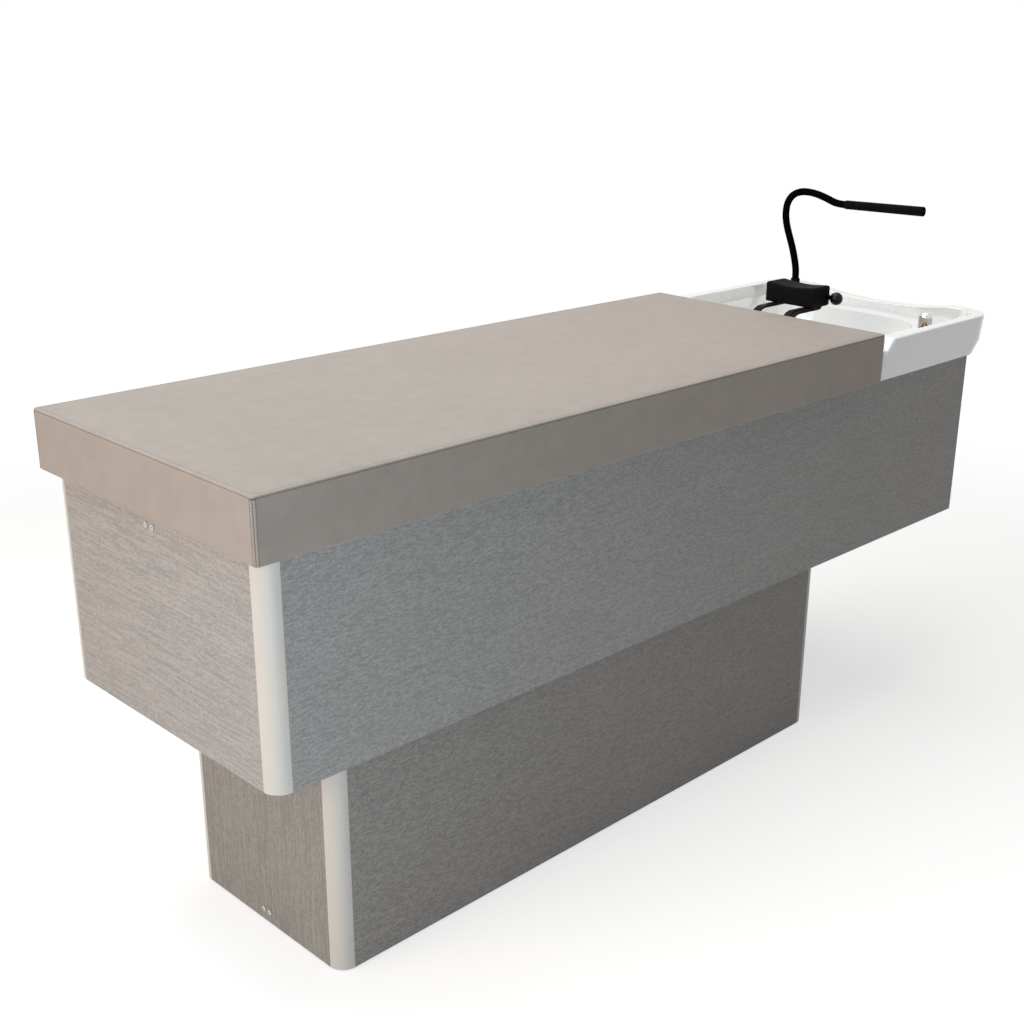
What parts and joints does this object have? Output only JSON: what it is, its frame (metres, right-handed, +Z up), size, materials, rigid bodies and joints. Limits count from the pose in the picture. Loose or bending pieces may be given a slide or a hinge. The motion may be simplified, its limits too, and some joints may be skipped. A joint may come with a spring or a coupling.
{
  "type": "hair washing bed",
  "caption": "Height-adjustable hair washing bed: padded top on a panelled casing and plinth, ceramic basin, tilting headrest, mixer tap and gooseneck hand shower.",
  "frame": {"origin": "on the floor under the middle of the bed's overall box", "axes": "+Z up, +X along the bed towards the basin, +Y towards the side with the gooseneck"},
  "size_m": [2.3845, 0.728, 1.337],
  "materials": {
    "leatherette": "soft satin with fine grain",
    "casing_laminate": "satin laminate with fine streaks",
    "plinth_laminate": "satin laminate with fine streaks",
    "profile": "satin cream white",
    "ceramic": "glossy white glaze",
    "chrome": "polished",
    "black_cushion": "soft satin",
    "black_knob": "glossy",
    "dark_steel": "satin paint",
    "frame_steel": "powder coat",
    "column_steel": "powder coat",
    "spindle_steel": "bright turned steel",
    "bronze_nut": "bright",
    "glide": "dry",
    "black_plastic": "fine grain",
    "grey_plastic": "fine grain",
    "white_plastic": "smooth",
    "black_hose": "smooth satin",
    "board": "raw birch plywood"
  },
  "bodies": {
    "base": {"base_rails": "frame_steel", "base_cross_tubes": "frame_steel", "column_base_plates": "frame_steel", "levelling_feet": "black_plastic", "plinth_front_panel": "plinth_laminate", "plinth_back_panel": "plinth_laminate", "plinth_foot_panel": "plinth_laminate", "plinth_head_panel": "plinth_laminate", "plinth_corner_profiles": "profile", "plinth_panel_screws": "chrome", "foot_column_outer": "column_steel", "head_column_outer": "column_steel", "column_upper_glides": "glide", "foot_lift_motor": "black_plastic", "head_lift_motor": "black_plastic", "control_box": "grey_plastic", "mains_inlet": "black_plastic"},
    "foot_spindle": {"foot_lift_spindle": "spindle_steel"},
    "head_spindle": {"head_lift_spindle": "spindle_steel"},
    "upper": {"foot_column_inner": "column_steel", "head_column_inner": "column_steel", "lift_nuts": "bronze_nut", "column_lower_glides": "glide", "upper_rails": "frame_steel", "upper_cross_tubes": "frame_steel", "mattress_board": "board", "mattress": "leatherette", "casing_front_panel": "casing_laminate", "casing_back_panel": "casing_laminate", "casing_foot_panel": "casing_laminate", "casing_head_panel": "casing_laminate", "casing_corner_profiles": "profile", "head_corner_angles": "frame_steel", "casing_panel_screws": "chrome", "basin": "ceramic", "switch_box": "white_plastic", "waste_flange": "chrome", "bottle_trap": "white_plastic", "drain_pipe": "white_plastic", "service_plate": "frame_steel", "water_unions": "bronze_nut", "mixer_body": "chrome", "deck_nuts": "bronze_nut", "gooseneck_base": "chrome", "supply_hoses": "black_hose", "mixed_water_hose": "black_hose", "headrest_arms": "dark_steel"},
    "strainer": {"waste_strainer": "chrome"},
    "mixer_turret": {"mixer_cartridge": "bronze_nut"},
    "mixer_cap": {"mixer_lever": "chrome"},
    "gooseneck": {"gooseneck_ferrule": "chrome", "gooseneck_hose": "black_hose", "shower_wand": "black_plastic", "spray_plate": "grey_plastic"},
    "headrest": {"headrest_pad": "black_cushion", "headrest_rod": "spindle_steel"},
    "clamp_knob": {"headrest_knob": "black_knob"},
    "raise_button": {"up_button": "grey_plastic"},
    "lower_button": {"down_button": "grey_plastic"}
  },
  "joints": [
    {"name": "lift", "type": "slide", "parent": "base", "child": "upper", "axis": [0, 0, 1], "range_m": [-0.34, 0]},
    {"name": "foot_spindle_turn", "type": "hinge", "parent": "base", "child": "foot_spindle", "pos_m": [-0.72825, 0, 0.05], "axis": [0, 0, 1], "range_deg": [-12260, 10]},
    {"name": "head_spindle_turn", "type": "hinge", "parent": "base", "child": "head_spindle", "pos_m": [0.33175, 0, 0.05], "axis": [0, 0, 1], "range_deg": [-12260, 10]},
    {"name": "strainer_lift", "type": "slide", "parent": "upper", "child": "strainer", "axis": [0, 0, 1], "range_m": [0, 0.06]},
    {"name": "mixer_turn", "type": "hinge", "parent": "upper", "child": "mixer_turret", "pos_m": [0.9615, -0.277, 1.036], "axis": [0, 0, 1], "range_deg": [-70, 15]},
    {"name": "mixer_tilt", "type": "hinge", "parent": "mixer_turret", "child": "mixer_cap", "pos_m": [0.9615, -0.277, 1.05], "axis": [-0.4848, 0.8746, 0], "range_deg": [0, 15]},
    {"name": "gooseneck_swivel", "type": "hinge", "parent": "upper", "child": "gooseneck", "pos_m": [1.122, 0.258, 1.046], "axis": [0, 0, 1], "range_deg": [-90, 30]},
    {"name": "headrest_tilt", "type": "hinge", "parent": "upper", "child": "headrest", "pos_m": [0.796, 0, 1.107], "axis": [0, 1, 0], "range_deg": [0, 25]},
    {"name": "clamp_knob_turn", "type": "hinge", "parent": "headrest", "child": "clamp_knob", "pos_m": [0.796, -0.1, 1.107], "axis": [0, 1, 0], "range_deg": [-90, 90]},
    {"name": "raise_press", "type": "slide", "parent": "upper", "child": "raise_button", "axis": [-1, 0, 0], "range_m": [0, 0.002], "stiffness_N_per_m": 600},
    {"name": "lower_press", "type": "slide", "parent": "upper", "child": "lower_button", "axis": [-1, 0, 0], "range_m": [0, 0.002], "stiffness_N_per_m": 600}
  ],
  "couplings": [
    {"joint": "foot_spindle_turn", "follows": "lift", "rad_per_m": 628.32},
    {"joint": "head_spindle_turn", "follows": "lift", "rad_per_m": 628.32}
  ]
}
